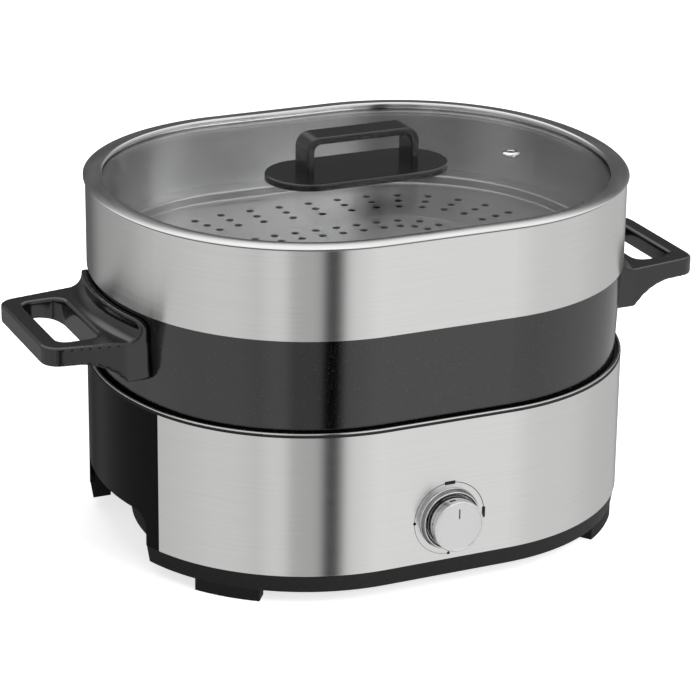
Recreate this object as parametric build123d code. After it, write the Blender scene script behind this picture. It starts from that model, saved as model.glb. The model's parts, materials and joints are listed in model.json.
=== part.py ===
from build123d import *
import os
from math import asin, cos, pi, sin

# Electric hot pot: heated base, lift-out pot, steamer and glass lid, all on one oval plan.
# Millimetres. X runs along the pot handles, the knob faces -Y and Z is up.

# Oval plan of the base wall: straight sides, corner arcs and flatter end arcs
half_length = 168.0
half_width = 138.5
corner_y = 13.5       # centres of the corner arcs, off the long axis
end_flattening = 37.0  # how much larger the end arcs are than the corner arcs

# Fits
seat_gap = 0.2        # between lift-off pieces and what they stand on
skirt_gap = 0.3       # round the rims that the steamer and the lid fit over or into
glue_gap = 0.1        # between fixed pieces with matching curved faces
turn_gap = 0.4        # round the knob
shaft_gap = 0.08      # round the control shaft
slide_gap = 0.4       # round the pot sensor
thread_gap = 0.05     # round screw shanks

# Base, from the ground up
foot_height = 7.5
plinth_height = 11.0
panel_height = 88.2
bezel_height = 1.5
trim_height = 1.0
trim_width = 1.4
trim_inset = 0.4
plinth_top_inset = 0.3
plinth_foot_inset = 2.0
panel_thickness = 1.0
housing_wall = 3.0
seam_y = 62.0         # where the steel panel ends, ahead of the middle
tray_wall = 2.0
skirt_inset = 11.0    # inner skirt of the plinth
skirt_wall = 2.0
tub_inset = 26.0
tub_wall = 2.5
tub_clearance = 2.0   # under the tub
notch_half = 51.0     # grip notch in each end
notch_height = 39.0
notch_radius = 10.0
foot_start_angle = 35.0  # degrees round each corner arc
foot_end_angle = 54.5
foot_width = 10.5
boss_radius = 5.5
boss_inset = 8.1
boss_height = 16.0

# Well and heater
liner_sheet = 0.6
liner_clearance = 1.0  # well floor above the thermostat
liner_hole_inset = 50.0
plate_rise = 6.0      # heating face above the well floor's underside
plate_depth = 10.0
plate_inset = 40.0
plate_clearance = 0.4  # plate body behind the thermostat's screws
element_radius = 4.0
element_half_x = 85.0
element_front = 50.0
element_rear = 60.0
element_gap_half = 20.0
element_bend = 30.0
element_tail = 12.0
post_x = 60.0
post_y = 35.0
post_radius = 5.0
spigot_radius = 2.0
spigot_length = 5.0
screw_radius = 1.5
screw_head_radius = 2.7
screw_head_height = 1.6

# Pot sensor
sensor_radius = 12.0
sensor_wall = 2.0
sensor_top = 3.0
sensor_depth = 14.0
guide_depth = 16.0
guide_wall = 2.4
guide_floor = 2.0
spring_radius = 9.0
spring_wire = 1.5

# Control
knob_height = 45.0
knob_radius = 16.0
knob_projection = 14.0
knob_wall = 1.5
knob_face = 2.0
knob_stand_off = 1.0
knob_edge = 0.8
ring_radius = 19.5
ring_height = 4.5
ring_lip = 2.0
shaft_radius = 3.0
shaft_hole_radius = 5.0
shaft_grip = 8.0
thermostat_width = 34.0
thermostat_depth = 22.0
thermostat_height = 28.0
thermostat_setback = 2.0
bracket_sheet = 1.5
bracket_foot = 14.0
thermostat_screw_x = 11.0
thermostat_screw_length = 10.0

# Wiring
wire_radius = 1.2
wire_bend = 3.5
wire_side_x = 45.0
wire_low = 14.0
wire_high = 38.0
block_length = 36.0
block_width = 16.0
block_height = 15.5
block_x = 38.0
block_setback = 20.0  # terminal block ahead of the tub's rear wall
fuse_radius = 3.0
fuse_length = 14.0
fuse_x = 35.0
fuse_y = 20.0
gland_x = 10.0
gland_z = 20.0
gland_radius = 6.4
gland_flange = 9.0
gland_flange_depth = 3.0
gland_bore = 3.6

# Pot
pot_height = 105.3
pot_clearance = 2.15  # pot foot inside the well liner
pot_wall = 3.0
pot_floor = 4.0
pot_bottom_radius = 14.0
handle_length = 50.5  # handle tip beyond the base wall
handle_drop = 20.5    # handle deck below the pot's rim
handle_thickness = 11.5
handle_tip_half = 46.0
handle_root_half = 53.0
handle_corner = 11.0
flange_drop = 8.5     # flange top below the pot's rim
flange_height = 37.0
flange_outset = 2.6   # flange face outside the base wall
flange_corner = 7.0
gusset_root = 3.0     # foot of the gusset beyond the base wall
gusset_length = 26.0
gusset_hollow = 3.0
grip_length = 72.0
grip_width = 26.0
grip_offset = 26.0    # middle of the grip opening beyond the base wall
grip_corner = 7.0
handle_edge = 1.6
handle_cove = 8.0     # hollow between deck and flange
bracket_length = 8.0  # bracket tip beyond the base wall
bracket_half = 14.0
bracket_thickness = 3.0
bracket_rise = 6.0    # bracket above the flange's lower edge
handle_screw_offset = 1.0  # handle screws beyond the base wall
handle_screw_y = 8.0
handle_screw_length = 12.0

# Steamer
steamer_inset = 0.7
steamer_sheet = 0.6
steamer_height = 55.0
steamer_skirt = 5.4   # wall below the ledge, outside the pot rim
steamer_rim_width = 2.0
steamer_rim_height = 2.5
steamer_rim_edge = 0.8
tray_sheet = 0.8
bend_radius = 2.0     # outside of the pressed bends
ledge_width = 12.7
floor_drop = 6.5
hole_radius = 2.6
outer_row_inset = 40.5
outer_row_step = 11.5
outer_rows = 3
outer_pitch = 20.6
inner_row_inset = 92.5
inner_row_step = 11.0
inner_rows = 2
inner_pitch = 14.2

# Lid
lid_overhang = 0.6    # rim outside the base wall
rim_width = 11.6
rim_height = 2.9      # crest of the domed rim over the steamer
rim_edge = 0.8
rim_lip_width = 7.0
rim_lip = 1.2
glass_drop = 1.2      # glass below the seat of the rim
glass_thickness = 4.0
glass_inset = 7.2
plate_length = 119.0
plate_width = 54.0
plate_thickness = 4.0
plate_edge = 1.2
bow_length = 75.0
bow_depth = 19.0
bow_height = 23.7
bow_bar = 4.4
bow_leg = 5.0
bow_corner = 9.0
bow_inner_corner = 4.6
bow_edge = 0.9
lid_screw_depth = 9.0
lid_screw_radius = 1.5
lid_screw_head_radius = 4.0
washer_radius = 6.5
washer_thickness = 1.2
vent_x = 106.5
vent_radius = 4.0
vent_bore = 2.5
vent_flange_radius = 5.8
vent_flange = 1.2

# Sizes and heights that follow
corner_radius = half_width - corner_y
end_radius = corner_radius + end_flattening
pot_rim_inset = steamer_inset + steamer_sheet + skirt_gap
rim_skirt_inset = steamer_inset + steamer_rim_width + skirt_gap
panel_bottom = foot_height + plinth_height
panel_top = panel_bottom + panel_height
bezel_top = panel_top + bezel_height
tray_ceiling = notch_height + tray_wall
collar_top = tray_ceiling + tray_wall
tub_floor = tub_clearance + tub_wall
body_low = knob_height - thermostat_height / 2
body_high = knob_height + thermostat_height / 2
liner_floor = body_high + liner_clearance
plate_top = liner_floor + plate_rise
plate_bottom = plate_top - plate_depth
pot_bottom = plate_top + seat_gap
pot_rim = pot_bottom + pot_height
handle_top = pot_rim - handle_drop
handle_low = handle_top - handle_thickness
flange_top = pot_rim - flange_drop
flange_bottom = flange_top - flange_height
bracket_bottom = flange_bottom + bracket_rise
ledge_bottom = pot_rim + seat_gap
ledge_top = ledge_bottom + tray_sheet
steamer_bottom = ledge_bottom - steamer_skirt
steamer_top = steamer_bottom + steamer_height
floor_top = ledge_top - floor_drop
rim_bottom = steamer_top + seat_gap
glass_top = rim_bottom - glass_drop
glass_bottom = glass_top - glass_thickness
handle_plate_top = glass_top + plate_thickness
front_y = -half_width
tub_rear = half_width - tub_inset
tub_inner = tub_rear - tub_wall
block_y = tub_inner - block_setback - block_width / 2
liner_inset = housing_wall + seat_gap
bezel_inner_inset = liner_inset + seat_gap
pot_foot_inset = liner_inset + liner_sheet + pot_clearance
body_front = thermostat_setback - tub_inner
body_back = body_front + thermostat_depth
bracket_back = body_back + bracket_sheet
plate_body_inset = half_width + bracket_back + screw_head_height + plate_clearance
handle_reach = half_length + handle_length
gusset_root_x = half_length + gusset_root
gusset_end_x = gusset_root_x + gusset_length
grip_centre_x = half_length + grip_offset
bracket_reach = half_length + bracket_length
handle_screw_x = half_length + handle_screw_offset

# Turn of the outline's normal where the end arc meets a corner arc, and the straight half side
end_turn = asin(corner_y / end_flattening)
flat_half = half_length - end_radius * (1 - cos(end_turn)) - corner_radius * cos(end_turn)
up = (Align.CENTER, Align.CENTER, Align.MIN)


def corner_point(inset, turn):
    """Point on the +X +Y corner arc of an inset outline, at a turn in radians."""
    reach = corner_radius - inset
    return flat_half + reach * cos(turn), corner_y + reach * sin(turn)


def oval(inset):
    side = half_width - inset
    tip = half_length - inset
    mid_x, mid_y = corner_point(inset, (pi / 2 + end_turn) / 2)
    join_x, join_y = corner_point(inset, end_turn)
    edges = [Line((-flat_half, -side), (flat_half, -side))]
    edges += [ThreePointArc((flat_half, -side), (mid_x, -mid_y), (join_x, -join_y))]
    edges += [ThreePointArc((join_x, -join_y), (tip, 0), (join_x, join_y))]
    edges += [ThreePointArc((join_x, join_y), (mid_x, mid_y), (flat_half, side))]
    edges += [Line((flat_half, side), (-flat_half, side))]
    edges += [ThreePointArc((-flat_half, side), (-mid_x, mid_y), (-join_x, join_y))]
    edges += [ThreePointArc((-join_x, join_y), (-tip, 0), (-join_x, -join_y))]
    edges += [ThreePointArc((-join_x, -join_y), (-mid_x, -mid_y), (-flat_half, -side))]
    return Face(Wire(edges))


def slab(inset, bottom, top):
    return Pos(0, 0, bottom) * extrude(oval(inset), top - bottom)


def band(outer, inner, bottom, top):
    return slab(outer, bottom, top) - slab(inner, bottom, top)


def taper(bottom_inset, bottom, top_inset, top):
    return loft([Pos(0, 0, bottom) * oval(bottom_inset), Pos(0, 0, top) * oval(top_inset)], ruled=True)


def block(x0, x1, y0, y1, z0, z1):
    centre = Pos((x0 + x1) / 2, (y0 + y1) / 2, (z0 + z1) / 2)
    return centre * Box(x1 - x0, y1 - y0, z1 - z0)


def post(x, y, bottom, top, radius):
    return Pos(x, y, bottom) * Cylinder(radius, top - bottom, align=up)


def rod_y(x, z, y0, y1, radius):
    return Pos(x, y0, z) * Rot(-90, 0, 0) * Cylinder(radius, y1 - y0, align=up)


def rod_x(y, z, x0, x1, radius):
    return Pos(x0, y, z) * Rot(0, 90, 0) * Cylinder(radius, x1 - x0, align=up)


def ends(x, y):
    return [(x, y), (-x, y), (-x, -y), (x, -y)]


def group(shapes):
    return Compound([solid for shape in shapes for solid in shape.solids()])


def wire(points):
    path = FilletPolyline(*points, radius=wire_bend)
    return sweep((path ^ 0) * Circle(wire_radius), path)


def level_edges(shape, height):
    return shape.edges().filter_by_position(Axis.Z, height, height)


parts = {}

# Base shell: full plastic ring, recessed at the front for the steel panel and split level with the
# top of the grip notches
recess_inset = panel_thickness + glue_gap
front_half = block(-half_length, half_length, -2 * half_width, -seam_y, 0, 2 * panel_top)
behind_seam = block(-half_length, half_length, -2 * half_width, glue_gap - seam_y, 0, 2 * panel_top)
notch_face = Plane.YZ * RectangleRounded(2 * notch_half, 2 * notch_height, notch_radius)
notch = extrude(notch_face, 2 * half_length, both=True)
shaft_hole = rod_y(0, knob_height, 2 * front_y, front_y / 2, shaft_hole_radius)
boss_spots = ends(*corner_point(boss_inset, pi / 4))
housing = band(0, housing_wall, panel_bottom, panel_top)
housing -= band(-1, recess_inset, panel_bottom, panel_top) & behind_seam
for x, y in boss_spots:
    boss = post(x, y, collar_top, collar_top + boss_height, boss_radius)
    housing += boss & slab(recess_inset, 0, panel_top)
for x, y in boss_spots:
    housing -= post(x, y, 0, collar_top + boss_height - tray_wall, screw_radius + thread_gap)
housing -= notch + shaft_hole
above_notch = block(-2 * half_length, 2 * half_length, -2 * half_width, 2 * half_width, notch_height, 2 * panel_top)
parts["base_housing"] = housing & above_notch
parts["lower_housing"] = housing - above_notch
panel = band(0, panel_thickness, panel_bottom, panel_top) & front_half
parts["front_panel"] = panel - shaft_hole

# Plinth ring: hollow band with a floor for the feet, cut by the grip notches
collar_inset = housing_wall + seat_gap
collar_inner = collar_inset + tray_wall
plinth = taper(plinth_foot_inset, foot_height, plinth_top_inset, panel_bottom)
plinth -= slab(collar_inner, foot_height, panel_bottom)
collar = band(collar_inset, collar_inner, panel_bottom, notch_height)
ring_inner = skirt_inset + skirt_wall
skirt = band(skirt_inset, ring_inner, foot_height, notch_height)
ring_floor = band(plinth_foot_inset, ring_inner, foot_height, foot_height + tray_wall)
ring_floor &= taper(plinth_foot_inset, foot_height, plinth_top_inset, panel_bottom)
cheek_half = notch_half + tray_wall
cheeks = band(collar_inset, ring_inner, foot_height, notch_height)
cheeks &= block(-half_length, half_length, -cheek_half, cheek_half, 0, notch_height)
plinth_ring = plinth + collar + skirt + ring_floor + cheeks
plinth_ring -= notch
plinth_ring += band(collar_inset, ring_inner, notch_height, tray_ceiling)
for x, y in boss_spots:
    plinth_ring -= post(x, y, foot_height, foot_height + tray_wall, screw_head_radius + slide_gap)
    plinth_ring -= post(x, y, notch_height, tray_ceiling, screw_radius + seat_gap)
parts["plinth_ring"] = plinth_ring - shaft_hole

# Bottom tub: the pan under the heater, hung from a flat collar on the plinth ring
tub = band(tub_inset, tub_inset + tub_wall, tub_clearance, tray_ceiling)
tub += slab(tub_inset, tub_clearance, tub_floor)
tub_collar = band(collar_inset, tub_inset + tub_wall, tray_ceiling, collar_top)
post_spots = ends(post_x, post_y)
for x, y in post_spots:
    tub -= post(x, y, 0, tub_floor, spigot_radius + seat_gap)
for x, y in boss_spots:
    tub_collar -= post(x, y, tray_ceiling, collar_top, screw_radius + seat_gap)
tub -= rod_y(gland_x, gland_z, tub_inner - tub_wall, tub_rear + tub_wall, gland_radius + thread_gap)
parts["bottom_tub"] = tub - shaft_hole
parts["tub_collar"] = tub_collar - shaft_hole


# Foot pads, arcs of the plinth at the four corners
def foot_pad():
    outer, inner = corner_radius - plinth_foot_inset, corner_radius - plinth_foot_inset - foot_width
    span = foot_end_angle - foot_start_angle
    sector = CenterArc((0, 0), outer, foot_start_angle, span)
    back = CenterArc((0, 0), inner, foot_start_angle, span)
    face = Face(Wire([sector, Line(sector @ 1, back @ 1), back, Line(back @ 0, sector @ 0)]))
    return Pos(flat_half, corner_y, 0) * extrude(face, foot_height)


pad = foot_pad()
right_pads = [pad, mirror(pad, Plane.XZ)]
parts["foot_pads"] = group(right_pads + [mirror(one, Plane.YZ) for one in right_pads])

tray_screws = []
for x, y in boss_spots:
    head = post(x, y, notch_height - screw_head_height, notch_height, screw_head_radius)
    tray_screws.append(head + post(x, y, notch_height, collar_top + boss_height / 2, screw_radius))
parts["tray_screws"] = group(tray_screws)

# Bezel round the well, with its bright trim line
parts["base_bezel"] = band(0, bezel_inner_inset, panel_top, bezel_top)
trim = band(trim_inset, trim_inset + trim_width, bezel_top, bezel_top + trim_height)
parts["bezel_trim"] = fillet(level_edges(trim, bezel_top + trim_height), trim_height / 3)

# Well liner: sheet pan under the pot with a hole for the heating plate
liner = band(liner_inset, liner_inset + liner_sheet, liner_floor, panel_top)
parts["well_liner"] = liner + band(liner_inset, liner_hole_inset, liner_floor, liner_floor + liner_sheet)

# Heating plate on posts, with the tubular element under it
plate_hole = sensor_radius + slide_gap
plate = slab(plate_inset, liner_floor + liner_sheet, plate_top)
plate += slab(plate_body_inset, plate_bottom, plate_top)
plate -= post(0, 0, 0, plate_top, plate_hole)
posts = []
post_screws = []
for x, y in post_spots:
    plate -= post(x, y, plate_bottom, plate_bottom + spigot_length, spigot_radius + thread_gap)
    stem = post(x, y, tub_floor, plate_bottom, post_radius)
    stem += post(x, y, plate_bottom, plate_bottom + spigot_length - seat_gap, spigot_radius)
    posts.append(stem - post(x, y, tub_floor, tub_floor + boss_height, spigot_radius + thread_gap))
    low_screw = post(x, y, tub_clearance, tub_floor + boss_height - tray_wall, spigot_radius)
    low_screw += post(x, y, tub_clearance - screw_head_height, tub_clearance, 2 * spigot_radius)
    post_screws.append(low_screw)
parts["heating_plate"] = plate
parts["plate_posts"] = group(posts)
parts["plate_screws"] = group(post_screws)

element_z = plate_bottom - element_radius
element_end = element_z - element_tail
element_path = FilletPolyline(
    (-element_gap_half, element_rear, element_end),
    (-element_gap_half, element_rear, element_z),
    (-element_half_x, element_rear, element_z),
    (-element_half_x, -element_front, element_z),
    (element_half_x, -element_front, element_z),
    (element_half_x, element_rear, element_z),
    (element_gap_half, element_rear, element_z),
    (element_gap_half, element_rear, element_end),
    radius=[2 * element_radius] + [element_bend] * 4 + [2 * element_radius],
)
parts["heating_element"] = sweep((element_path ^ 0) * Circle(element_radius), element_path)

# Spring-loaded sensor that the pot's floor presses
cap = post(0, 0, plate_top - sensor_depth, plate_top, sensor_radius)
cap -= post(0, 0, plate_top - sensor_depth, plate_top - sensor_top, sensor_radius - sensor_wall)
parts["sensor_cap"] = fillet(level_edges(cap, plate_top).group_by(SortBy.LENGTH)[-1], sensor_wall / 2)
guide_bottom = plate_bottom - guide_depth
guide = post(0, 0, guide_bottom, plate_bottom, plate_hole + guide_wall)
parts["sensor_guide"] = guide - post(0, 0, guide_bottom + guide_floor, plate_bottom, plate_hole)
spring = post(0, 0, guide_bottom + guide_floor, plate_top - sensor_top, spring_radius)
spring -= post(0, 0, guide_bottom + guide_floor, plate_top - sensor_top, spring_radius - spring_wire)
parts["sensor_spring"] = spring

# Thermostat behind the tub's front wall, on its bracket
body_half = thermostat_width / 2
thermostat = block(-body_half, body_half, body_front, body_back, body_low, body_high)
thermostat -= rod_y(0, knob_height, body_front, body_back - tray_wall, shaft_radius + shaft_gap)
bracket = block(-body_half, body_half, body_back, bracket_back, tub_floor, body_high)
foot_end = bracket_back + bracket_foot
bracket += block(-body_half, body_half, bracket_back, foot_end, tub_floor, tub_floor + bracket_sheet)
thermostat_screws = []
for x in (-thermostat_screw_x, thermostat_screw_x):
    shank_start = body_back - thermostat_screw_length
    hole = rod_y(x, knob_height, shank_start - seat_gap, bracket_back, screw_radius + thread_gap)
    thermostat -= hole
    bracket -= hole
    head_end = bracket_back + screw_head_height
    shank = rod_y(x, knob_height, shank_start, bracket_back, screw_radius)
    thermostat_screws.append(shank + rod_y(x, knob_height, bracket_back, head_end, screw_head_radius))
parts["thermostat_body"] = thermostat
parts["thermostat_bracket"] = bracket
parts["thermostat_screws"] = group(thermostat_screws)

# Control knob: polished sleeve with a flat face, inner hub and shaft, in a fixed ring
knob_front = front_y - knob_projection
knob_back = front_y - knob_stand_off
sleeve = rod_y(0, knob_height, knob_front, knob_back, knob_radius)
sleeve -= rod_y(0, knob_height, knob_front + knob_face, knob_back, knob_radius - knob_wall)
face_edges = sleeve.edges().filter_by_position(Axis.Y, knob_front, knob_front)
parts["knob_cap"] = chamfer(face_edges, knob_edge)
hub = rod_y(0, knob_height, knob_front + knob_face, knob_back, knob_radius - knob_wall - thread_gap)
shaft_tip = knob_back - shaft_grip
hub -= rod_y(0, knob_height, shaft_tip, knob_back, shaft_radius + thread_gap)
parts["knob_hub"] = hub
parts["control_shaft"] = rod_y(0, knob_height, shaft_tip, body_back - 2 * tray_wall, shaft_radius)
ring = rod_y(0, knob_height, front_y - ring_lip, front_y, ring_radius)
ring_cone = Pos(0, front_y - ring_lip, knob_height) * Rot(90, 0, 0)
ring += ring_cone * Cone(ring_radius, knob_radius + 2 * turn_gap, ring_height - ring_lip, align=up)
parts["knob_ring"] = ring - rod_y(0, knob_height, 2 * front_y, front_y, knob_radius + turn_gap)

# Terminal block, thermal fuse, wiring and the gland of the mains lead
block_face = block_y - block_width / 2
parts["terminal_block"] = block(
    block_x - block_length / 2, block_x + block_length / 2,
    block_face, block_y + block_width / 2, tub_floor, tub_floor + block_height,
)
fuse_z = plate_bottom - fuse_radius
fuse_start = fuse_x - fuse_length / 2
fuse_end = fuse_x + fuse_length / 2
parts["thermal_fuse"] = rod_x(fuse_y, fuse_z, fuse_start, fuse_end, fuse_radius)
body_y = (body_front + body_back) / 2
turn_z = (wire_low + wire_high) / 2
live = wire([
    (wire_side_x, block_face, wire_low), (wire_side_x, body_y, wire_low),
    (wire_side_x, body_y, wire_high), (body_half, body_y, wire_high),
])
switched = wire([
    (-body_half, body_y, wire_high), (-wire_side_x, body_y, wire_high),
    (-wire_side_x, body_y, turn_z), (-wire_side_x, element_rear, turn_z),
    (-element_gap_half, element_rear, turn_z), (-element_gap_half, element_rear, element_end),
])
fused = wire([
    (element_gap_half, element_rear, element_end), (element_gap_half, element_rear, turn_z),
    (element_gap_half, fuse_y, turn_z), (element_gap_half, fuse_y, fuse_z), (fuse_start, fuse_y, fuse_z),
])
neutral_x = fuse_end + 2 * wire_bend
neutral = wire([
    (fuse_end, fuse_y, fuse_z), (neutral_x, fuse_y, fuse_z),
    (neutral_x, fuse_y, wire_low), (neutral_x, block_face, wire_low),
])
parts["wiring"] = group([live, switched, fused, neutral])
gland = rod_y(gland_x, gland_z, tub_inner - gland_flange_depth, tub_rear, gland_radius)
gland += rod_y(gland_x, gland_z, tub_rear, tub_rear + gland_flange_depth, gland_flange)
gland += rod_y(gland_x, gland_z, tub_inner - gland_flange_depth, tub_inner, gland_flange)
parts["cord_gland"] = gland - rod_y(gland_x, gland_z, 0, half_width, gland_bore)

# Pot: tapered vessel with a rounded bottom edge
vessel = taper(pot_foot_inset, pot_bottom, pot_rim_inset, pot_rim)
vessel = fillet(level_edges(vessel, pot_bottom), pot_bottom_radius)
pot_slope = (pot_foot_inset - pot_rim_inset) / pot_height
cavity_bottom = pot_bottom + pot_floor
cavity_inset = pot_foot_inset + pot_wall - pot_slope * pot_floor
cavity = taper(cavity_inset, cavity_bottom, pot_rim_inset + pot_wall, pot_rim)
cavity = fillet(level_edges(cavity, cavity_bottom), pot_bottom_radius - pot_wall)
parts["pot_vessel"] = vessel - cavity
keep_out = taper(pot_foot_inset - glue_gap, pot_bottom, pot_rim_inset - glue_gap, pot_rim)



def in_grip(point):
    return abs(point.X - grip_centre_x) <= grip_width / 2 and abs(point.Y) <= grip_length / 2


# Right pot handle: curved flange on the pot, deck with the grip opening, gusset below
root_x = half_length / 2
flange_zone = Plane.YZ * RectangleRounded(2 * handle_root_half, flange_top - flange_bottom, flange_corner)
flange_zone = Pos(0, 0, (flange_top + flange_bottom) / 2) * extrude(flange_zone, handle_reach)
flange = slab(-flange_outset, flange_bottom, flange_top) & flange_zone
gusset_end = (gusset_end_x, handle_low)
gusset_foot = (gusset_root_x, flange_bottom)
side = Polyline(
    gusset_foot, (root_x, flange_bottom), (root_x, handle_top),
    (handle_reach, handle_top), (handle_reach, handle_low), gusset_end,
)
side_face = make_face([side, SagittaArc(gusset_end, gusset_foot, -gusset_hollow)])
deck = extrude(Plane.XZ * side_face, handle_root_half, both=True)
plan = Polyline(
    (root_x, -handle_root_half), (gusset_root_x, -handle_root_half), (handle_reach, -handle_tip_half),
    (handle_reach, handle_tip_half), (gusset_root_x, handle_root_half), (root_x, handle_root_half),
    close=True,
)
plan_face = make_face(plan)
plan_face = fillet(plan_face.vertices().group_by(Axis.X)[-1], handle_corner)
deck &= extrude(plan_face, 2 * handle_top)
opening = Pos(grip_centre_x, 0, 0) * RectangleRounded(grip_width, grip_length, grip_corner)
deck -= extrude(opening, 2 * handle_top)
deck_edges = level_edges(deck, handle_top)
deck = fillet([edge for edge in deck_edges if in_grip(edge.center())], handle_edge)
handle = flange + deck - keep_out
root_edges = [edge for edge in level_edges(handle, handle_top) if edge.center().X < gusset_root_x]
root_edge = max(root_edges, key=lambda edge: edge.length)
cove_limit = handle.max_fillet([root_edge], tolerance=seat_gap, max_iterations=16)
handle = fillet(root_edge, min(handle_cove, cove_limit))
bracket_slot = block(root_x, bracket_reach + seat_gap, -bracket_half - seat_gap, bracket_half + seat_gap,
                     bracket_bottom - seat_gap, bracket_bottom + bracket_thickness + seat_gap)
handle -= bracket_slot
bracket_bar = block(root_x, bracket_reach, -bracket_half, bracket_half,
                    bracket_bottom, bracket_bottom + bracket_thickness) - keep_out
screw_head_top = flange_bottom + 2 * screw_head_height
handle_screws = []
for y in (-handle_screw_y, handle_screw_y):
    handle -= post(handle_screw_x, y, flange_bottom, screw_head_top, screw_head_radius + seat_gap)
    screw_top = screw_head_top + handle_screw_length
    bore = post(handle_screw_x, y, flange_bottom, screw_top + seat_gap, screw_radius + thread_gap)
    handle -= bore
    bracket_bar -= bore
    screw = post(handle_screw_x, y, screw_head_top - screw_head_height, screw_head_top, screw_head_radius)
    handle_screws.append(screw + post(handle_screw_x, y, screw_head_top, screw_top, screw_radius))
parts["pot_handle_right"] = handle
parts["pot_handle_left"] = mirror(handle, Plane.YZ)
parts["pot_handle_brackets"] = group([bracket_bar, mirror(bracket_bar, Plane.YZ)])
parts["pot_handle_screws"] = group(handle_screws + [mirror(one, Plane.YZ) for one in handle_screws])

# Steamer: wall with a rolled rim, and the stepped tray with its rows of holes
wall_inner = steamer_inset + steamer_sheet
rim_low = steamer_top - steamer_rim_height
steamer = band(steamer_inset, wall_inner, steamer_bottom, rim_low)
rolled = band(steamer_inset, steamer_inset + steamer_rim_width, rim_low, steamer_top)
steamer += fillet(level_edges(rolled, steamer_top), steamer_rim_edge)
parts["steamer_wall"] = steamer
ledge_outer = wall_inner + thread_gap
step_inset = ledge_outer + ledge_width
floor_bottom = floor_top - tray_sheet
steam_tray = band(ledge_outer, step_inset, ledge_bottom, ledge_top)
steam_tray += band(step_inset - tray_sheet, step_inset, floor_bottom, ledge_top)
steam_tray += slab(step_inset - tray_sheet, floor_bottom, floor_top)


def flat_face(shape, height):
    return shape.faces().filter_by(GeomType.PLANE).filter_by_position(Axis.Z, height, height)[0]


inner_bend = bend_radius - tray_sheet
steam_tray = fillet(flat_face(steam_tray, ledge_top).inner_wires()[0].edges(), bend_radius)
steam_tray = fillet(flat_face(steam_tray, ledge_bottom).inner_wires()[0].edges(), inner_bend)
steam_tray = fillet(flat_face(steam_tray, floor_top).outer_wire().edges(), inner_bend)
steam_tray = fillet(flat_face(steam_tray, floor_bottom).outer_wire().edges(), bend_radius)


def hole_spots(inset, pitch, lead):
    """Points of one quarter of an inset outline, at an even pitch along the outline at the lead inset."""
    to_end_arc = flat_half + (corner_radius - lead) * (pi / 2 - end_turn)
    quarter = to_end_arc + (end_radius - lead) * end_turn
    spots = []
    for index in range(int(quarter / pitch)):
        along = (index + 0.5) * pitch
        if along < flat_half:
            spots.append((along, half_width - inset))
        elif along < to_end_arc:
            turn = pi / 2 - (along - flat_half) / (corner_radius - lead)
            spots.append(corner_point(inset, turn))
        else:
            turn = end_turn - (along - to_end_arc) / (end_radius - lead)
            reach = end_radius - inset
            spots.append((half_length - end_radius + reach * cos(turn), reach * sin(turn)))
    return spots


holes = []
for first, step, rows, pitch in (
    (outer_row_inset, outer_row_step, outer_rows, outer_pitch),
    (inner_row_inset, inner_row_step, inner_rows, inner_pitch),
):
    for row in range(rows):
        for x, y in hole_spots(first + row * step, pitch, first):
            holes += [Pos(sx, sy) * Circle(hole_radius) for sx, sy in ends(x, y)]
cutters = [Pos(0, 0, floor_bottom) * extrude(hole, tray_sheet) for hole in holes]
parts["steamer_tray"] = steam_tray - cutters

# Lid rim: domed band over the steamer, skirt and lips that hold the glass
rim_inner = rim_width - lid_overhang
section = Polyline((-lid_overhang, rim_edge), (-lid_overhang, 0), (rim_inner, 0), (rim_inner, rim_edge))
crest = (rim_width / 2 - lid_overhang, rim_height)
dome = ThreePointArc((rim_inner, rim_edge), crest, (-lid_overhang, rim_edge))
across = Plane((-flat_half, -half_width, rim_bottom), x_dir=(0, 1, 0), z_dir=(1, 0, 0))
rim_path = Pos(0, 0, rim_bottom) * oval(0).outer_wire()
bead = sweep(across * make_face([section, dome]), path=rim_path)
lip_top = glass_bottom - glue_gap
lip_bottom = lip_top - rim_lip
skirt_inner = glass_inset - seat_gap
rim = bead + band(rim_skirt_inset, skirt_inner, lip_bottom, rim_bottom)
rim += band(rim_skirt_inset, rim_inner, glass_top, rim_bottom)
parts["lid_rim"] = rim + band(rim_skirt_inset, rim_skirt_inset + rim_lip_width, lip_bottom, lip_top)

# Glass with holes for the handle screws and the vent
leg_x = (bow_length - bow_leg) / 2
vent_hole = post(vent_x, 0, 0, glass_top, vent_radius + seat_gap)
glass = slab(glass_inset, glass_bottom, glass_top - glue_gap) - vent_hole
for x in (-leg_x, leg_x):
    glass -= post(x, 0, 0, glass_top, lid_screw_radius + seat_gap)
parts["lid_glass"] = glass

# Lid handle: plate, bow, screws and washers
stadium = SlotOverall(plate_length, plate_width)
plate_low = glass_top - glue_gap
handle_plate = Pos(0, 0, plate_low) * extrude(stadium, handle_plate_top - plate_low)
handle_plate = fillet(level_edges(handle_plate, handle_plate_top), plate_edge)
bow_top = handle_plate_top + bow_height
bow_half = bow_length / 2
inner_half = bow_half - bow_leg
outline = Pos(0, handle_plate_top + bow_height / 2) * Rectangle(bow_length, bow_height)
outline = fillet(outline.vertices().group_by(Axis.Y)[-1], bow_corner)
gap_height = bow_height - bow_bar
gap_face = Pos(0, handle_plate_top + gap_height / 2) * Rectangle(2 * inner_half, gap_height)
gap_face = fillet(gap_face.vertices().group_by(Axis.Y)[-1], bow_inner_corner)
bow = extrude(Plane.XZ * (outline - gap_face), bow_depth / 2, both=True)
bow_rims = bow.edges().filter_by_position(Axis.Y, -bow_depth / 2, -bow_depth / 2)
bow_rims += bow.edges().filter_by_position(Axis.Y, bow_depth / 2, bow_depth / 2)
bow = fillet([edge for edge in bow_rims if edge.center().Z > handle_plate_top + thread_gap], bow_edge)
lid_screws = []
washers = []
washer_bottom = glass_bottom - washer_thickness
screw_end = handle_plate_top + lid_screw_depth
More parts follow.
